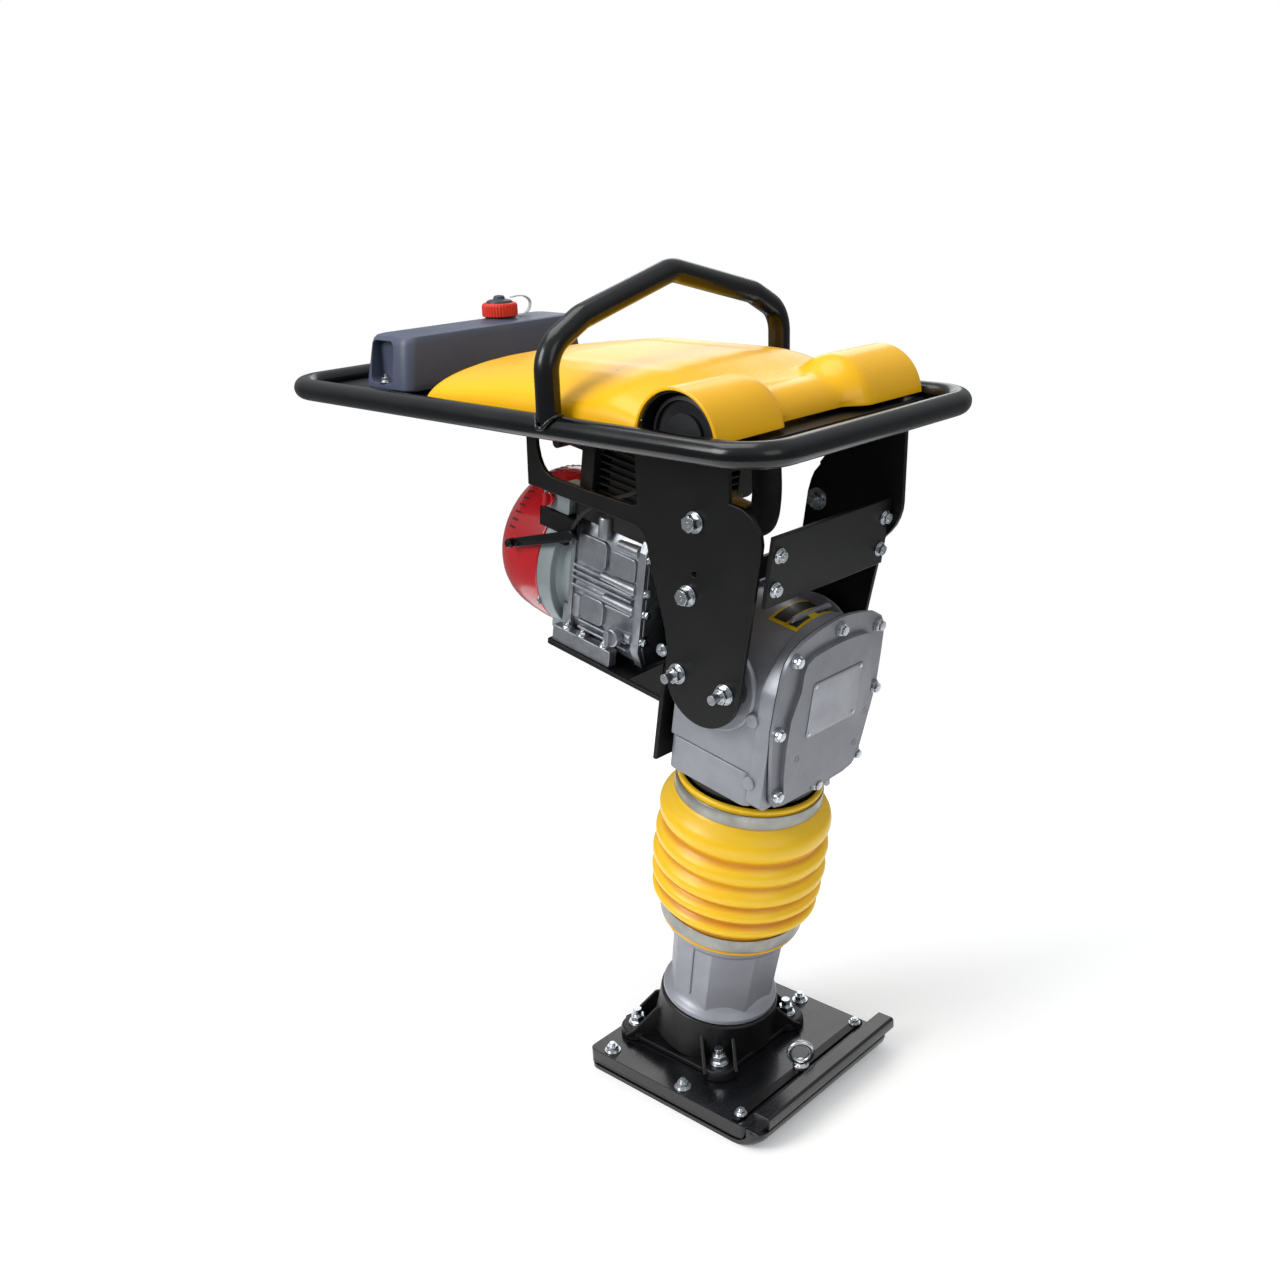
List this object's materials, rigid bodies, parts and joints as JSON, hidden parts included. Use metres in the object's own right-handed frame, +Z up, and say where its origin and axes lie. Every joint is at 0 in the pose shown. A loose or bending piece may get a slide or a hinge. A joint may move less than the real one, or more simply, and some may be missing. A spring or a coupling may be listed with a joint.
{
  "type": "jumping jack rammer",
  "caption": "Upright tamping rammer: a flat shoe under a leaning leg with a bellows, a drive case, a small engine and a loop handle with tank, hood and lifting arch.",
  "frame": {"origin": "centre of the shoe sole where it meets the ground", "axes": "+Z up, +X towards the turned-up toe and the front of the handle, +Y to the machine's left"},
  "size_m": [0.8243, 0.438, 1.0583],
  "materials": {
    "worn_steel": "rolled steel, scuffed",
    "shoe_black": "semi-gloss black paint",
    "frame_black": "gloss black powder coat",
    "zinc": "bright zinc plate",
    "silver_paint": "silver paint over casting",
    "band_steel": "plain steel band",
    "spring_steel": "oil-dark spring steel",
    "bellows_yellow": "satin yellow rubber",
    "inner_black": "matt black",
    "cover_paint": "darker silver paint",
    "plate_metal": "blank satin plate",
    "gear_steel": "machined steel",
    "black_rubber": "matt black rubber",
    "tank_slate": "satin slate plastic",
    "cap_red": "satin red plastic",
    "cap_dark": "dark slate plastic",
    "strap_clear": "milky flexible plastic",
    "hood_yellow": "gloss yellow plastic",
    "filter_black": "black plastic",
    "cast_alloy": "as-cast alloy",
    "housing_grey": "pale grey paint",
    "engine_red": "gloss red",
    "muffler_black": "heat-proof matt black",
    "lever_black": "black steel lever"
  },
  "bodies": {
    "foot": {"sole_plate": "worn_steel", "shoe_core": "shoe_black", "toe_bar": "shoe_black", "toe_strip": "frame_black", "foot_flange": "shoe_black", "foot_stud_1": "zinc", "foot_stud_2": "zinc", "foot_stud_3": "zinc", "foot_stud_4": "zinc", "eye_bolt": "zinc", "leg_tube": "silver_paint", "spring_tube": "worn_steel", "lower_clamp": "band_steel"},
    "machine": {"lower_spring": "spring_steel", "upper_spring": "spring_steel", "bellows": "bellows_yellow", "upper_clamp": "band_steel", "guide_tube": "inner_black", "piston": "worn_steel", "drive_case": "silver_paint", "case_cover": "cover_paint", "rating_plate": "plate_metal", "shaft_bearing": "gear_steel", "rubber_mount_near_1": "black_rubber", "rubber_mount_near_2": "black_rubber", "rubber_mount_far_1": "black_rubber", "rubber_mount_far_2": "black_rubber", "side_plate_near": "frame_black", "side_plate_far": "frame_black", "cross_plate": "frame_black", "engine_base": "frame_black", "handle_loop": "frame_black", "lift_arch": "frame_black", "rear_deck": "frame_black", "front_deck": "frame_black", "fuel_tank": "tank_slate", "cap_strap": "strap_clear", "hood": "hood_yellow", "filter_can_near": "filter_black", "filter_can_far": "filter_black", "engine_block": "cast_alloy", "fan_housing": "housing_grey", "recoil_cover": "engine_red", "cylinder": "cast_alloy", "muffler": "muffler_black", "carburettor": "cast_alloy", "air_duct": "black_rubber", "clutch_housing": "frame_black", "spark_cap": "black_rubber"},
    "crank": {"crank_gear": "gear_steel"},
    "pinion": {"pinion": "gear_steel"},
    "con_rod": {"con_rod": "gear_steel"},
    "throttle_lever": {"throttle_lever": "lever_black"},
    "choke_lever": {"choke_lever": "lever_black"},
    "engine_switch": {"engine_switch": "engine_red"},
    "oil_cap": {"oil_cap": "filter_black"},
    "cap_insert": {"cap_insert": "cap_dark"},
    "cap_ring": {"cap_ring": "cap_red"},
    "recoil_grip": {"recoil_grip": "filter_black"}
  },
  "joints": [
    {"name": "leg_stroke", "type": "slide", "parent": "foot", "child": "machine", "axis": [0.196, 0, 0.9806], "range_m": [-0.03, 0.03], "stiffness_N_per_m": 60000, "springref_m": 0.01203, "deforming": ["bellows", "lower_spring", "upper_spring"]},
    {"name": "crank_spin", "type": "hinge", "parent": "machine", "child": "crank", "pos_m": [0.06313, 0, 0.57464], "axis": [0.9806, 0, -0.196], "continuous": true},
    {"name": "pinion_spin", "type": "hinge", "parent": "machine", "child": "pinion", "pos_m": [0.0741, 0, 0.62955], "axis": [0.9806, 0, -0.196], "continuous": true},
    {"name": "rod_pivot", "type": "hinge", "parent": "crank", "child": "con_rod", "pos_m": [0.05803, 0, 0.54914], "axis": [0.9806, 0, -0.196], "continuous": true},
    {"name": "throttle", "type": "hinge", "parent": "machine", "child": "throttle_lever", "pos_m": [-0.14616, -0.108, 0.74189], "axis": [0, 1, 0], "range_deg": [-10, 25]},
    {"name": "choke", "type": "hinge", "parent": "machine", "child": "choke_lever", "pos_m": [0.00426, -0.05, 0.77506], "axis": [0, 1, 0], "range_deg": [0, 60]},
    {"name": "switch_turn", "type": "hinge", "parent": "machine", "child": "engine_switch", "pos_m": [-0.1848, -0.104, 0.78326], "axis": [0, 1, 0], "range_deg": [0, 45]},
    {"name": "oil_cap_turn", "type": "hinge", "parent": "machine", "child": "oil_cap", "pos_m": [-0.08652, -0.106, 0.62188], "axis": [0, 1, 0], "range_deg": [0, 360]},
    {"name": "cap_lift", "type": "slide", "parent": "machine", "child": "cap_insert", "axis": [0.0349, 0, 0.9994], "range_m": [0, 0.0121]},
    {"name": "cap_turn", "type": "hinge", "parent": "cap_insert", "child": "cap_ring", "pos_m": [-0.41716, 0.045, 0.98181], "axis": [0.0349, 0, 0.9994], "range_deg": [0, 900]},
    {"name": "starter_pull", "type": "slide", "parent": "machine", "child": "recoil_grip", "axis": [-0.9806, 0, 0.196], "range_m": [0, 0.25], "stiffness_N_per_m": 30, "springref_m": -0.06}
  ],
  "couplings": [
    {"joint": "pinion_spin", "follows": "crank_spin", "ratio": -3},
    {"joint": "rod_pivot", "follows": "crank_spin", "ratio": -1},
    {"joint": "cap_lift", "follows": "cap_turn", "m_per_rad": 0.00076394}
  ]
}
